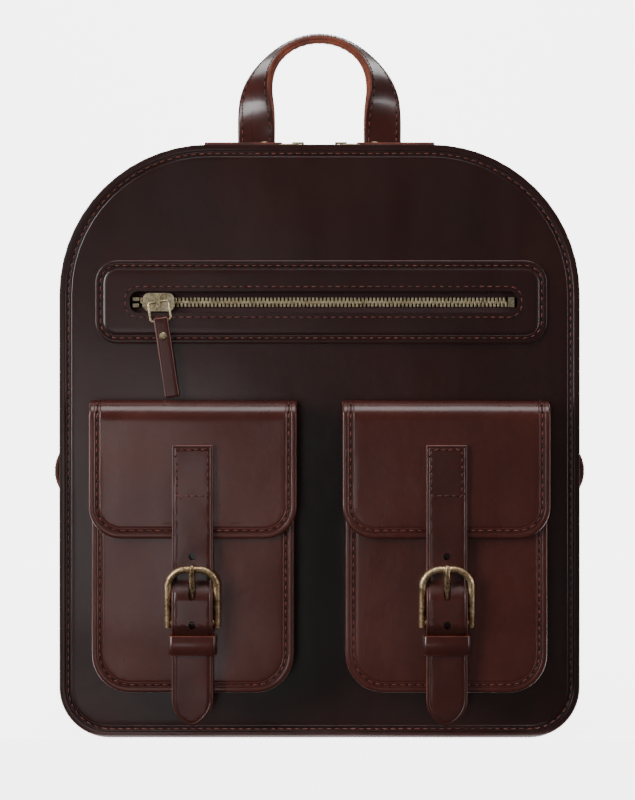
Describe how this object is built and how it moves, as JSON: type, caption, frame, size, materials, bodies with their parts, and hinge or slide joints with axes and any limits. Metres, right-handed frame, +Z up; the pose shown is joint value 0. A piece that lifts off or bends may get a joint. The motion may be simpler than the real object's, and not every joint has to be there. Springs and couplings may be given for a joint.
{
  "type": "leather backpack",
  "caption": "Round-topped leather backpack with a zipped front slot, two buckled front pockets, a carrying handle and shoulder straps.",
  "frame": {"origin": "middle of the base, at the centre of the bounding box's underside", "axes": "+X across to the right seen from the front, front faces -Y, +Z up"},
  "size_m": [0.3436, 0.1943, 0.4628],
  "materials": {
    "panel_leather": "polished vegetable-tanned leather",
    "gusset_leather": "polished leather with rust flesh side",
    "pocket_leather": "polished leather",
    "strap_leather": "polished leather, raw rust edges",
    "antique_brass": "antiqued, worn",
    "zip_metal": "polished",
    "zip_tape": "woven",
    "pouch_lining": "woven cotton"
  },
  "bodies": {
    "bag": {"front_panel": "panel_leather", "back_panel": "panel_leather", "base_gusset": "gusset_leather", "zip_gusset_front": "gusset_leather", "zip_gusset_back": "gusset_leather", "main_tape_front": "zip_tape", "main_tape_back": "zip_tape", "main_teeth_front": "zip_metal", "main_teeth_back": "zip_metal", "zip_end_tab_left": "strap_leather", "zip_end_tab_right": "strap_leather", "zip_patch": "panel_leather", "front_tape_upper": "zip_tape", "front_tape_lower": "zip_tape", "front_teeth_upper": "zip_metal", "front_teeth_lower": "zip_metal", "zip_stops": "zip_metal", "zip_pouch": "pouch_lining", "pocket_panel_left": "pocket_leather", "pocket_panel_right": "pocket_leather", "pocket_gusset_left": "gusset_leather", "pocket_gusset_right": "gusset_leather", "snap_socket_left": "zip_metal", "snap_socket_right": "zip_metal", "flap_lips": "pocket_leather", "handle_ends": "strap_leather", "shoulder_ends": "strap_leather", "back_yoke": "panel_leather", "shoulder_ring_left": "antique_brass", "shoulder_ring_right": "antique_brass", "ring_tabs": "strap_leather"},
    "front_slider": {"front_slider": "zip_metal"},
    "pull_ring": {"pull_ring": "zip_metal"},
    "pull": {"pull_tab": "strap_leather", "pull_rivet": "zip_metal"},
    "handle": {"handle": "strap_leather"},
    "flap_left": {"flap_left": "pocket_leather", "flap_strap_left": "strap_leather", "chape_left": "strap_leather", "buckle_frame_left": "antique_brass", "keeper_left": "strap_leather", "snap_stud_left": "zip_metal"},
    "prong_left": {"prong_left": "antique_brass"},
    "main_slider_left": {"main_slider_left": "zip_metal"},
    "main_pull_left": {"main_pull_left": "strap_leather"},
    "shoulder_left": {"shoulder_upper_left": "strap_leather", "shoulder_lower_left": "strap_leather", "shoulder_adjuster_left": "antique_brass"},
    "flap_right": {"flap_right": "pocket_leather", "flap_strap_right": "strap_leather", "chape_right": "strap_leather", "buckle_frame_right": "antique_brass", "keeper_right": "strap_leather", "snap_stud_right": "zip_metal"},
    "prong_right": {"prong_right": "antique_brass"},
    "main_slider_right": {"main_slider_right": "zip_metal"},
    "main_pull_right": {"main_pull_right": "strap_leather"},
    "shoulder_right": {"shoulder_upper_right": "strap_leather", "shoulder_lower_right": "strap_leather", "shoulder_adjuster_right": "antique_brass"}
  },
  "joints": [
    {"name": "front_zip_slide", "type": "slide", "parent": "bag", "child": "front_slider", "axis": [1, 0, 0], "range_m": [0, 0.208]},
    {"name": "pull_ring_swing", "type": "hinge", "parent": "front_slider", "child": "pull_ring", "pos_m": [-0.102, -0.0559, 0.276], "axis": [0, 1, 0], "range_deg": [-12, 28]},
    {"name": "pull_lift", "type": "hinge", "parent": "pull_ring", "child": "pull", "pos_m": [-0.10023, -0.0559, 0.26413], "axis": [-0.989, 0, -0.1478], "range_deg": [0, 100]},
    {"name": "handle_fold", "type": "hinge", "parent": "bag", "child": "handle", "pos_m": [0, 0.0548, 0.38], "axis": [-1, 0, 0], "range_deg": [-60, 60]},
    {"name": "flap_left_open", "type": "hinge", "parent": "bag", "child": "flap_left", "pos_m": [-0.0788, -0.0615, 0.2135], "axis": [-1, 0, 0], "range_deg": [0, 85]},
    {"name": "prong_left_lift", "type": "hinge", "parent": "flap_left", "child": "prong_left", "pos_m": [-0.0788, -0.0854, 0.076], "axis": [1, 0, 0], "range_deg": [0, 4]},
    {"name": "main_slider_left_slide", "type": "slide", "parent": "bag", "child": "main_slider_left", "axis": [-1, 0, 0], "range_m": [0, 0.045]},
    {"name": "main_pull_left_lift", "type": "hinge", "parent": "main_slider_left", "child": "main_pull_left", "pos_m": [-0.014, 0, 0.3803], "axis": [0, 1, 0], "range_deg": [0, 95]},
    {"name": "shoulder_left_swing", "type": "hinge", "parent": "bag", "child": "shoulder_left", "pos_m": [-0.082, 0.0605, 0.314], "axis": [0.1351, 0, 0.9908], "range_deg": [-12, 12]},
    {"name": "flap_right_open", "type": "hinge", "parent": "bag", "child": "flap_right", "pos_m": [0.0788, -0.0615, 0.2135], "axis": [-1, 0, 0], "range_deg": [0, 85]},
    {"name": "prong_right_lift", "type": "hinge", "parent": "flap_right", "child": "prong_right", "pos_m": [0.0788, -0.0854, 0.076], "axis": [1, 0, 0], "range_deg": [0, 4]},
    {"name": "main_slider_right_slide", "type": "slide", "parent": "bag", "child": "main_slider_right", "axis": [1, 0, 0], "range_m": [0, 0.045]},
    {"name": "main_pull_right_lift", "type": "hinge", "parent": "main_slider_right", "child": "main_pull_right", "pos_m": [0.014, 0, 0.3803], "axis": [0, -1, 0], "range_deg": [0, 95]},
    {"name": "shoulder_right_swing", "type": "hinge", "parent": "bag", "child": "shoulder_right", "pos_m": [0.082, 0.0605, 0.314], "axis": [-0.1351, 0, 0.9908], "range_deg": [-12, 12]}
  ]
}
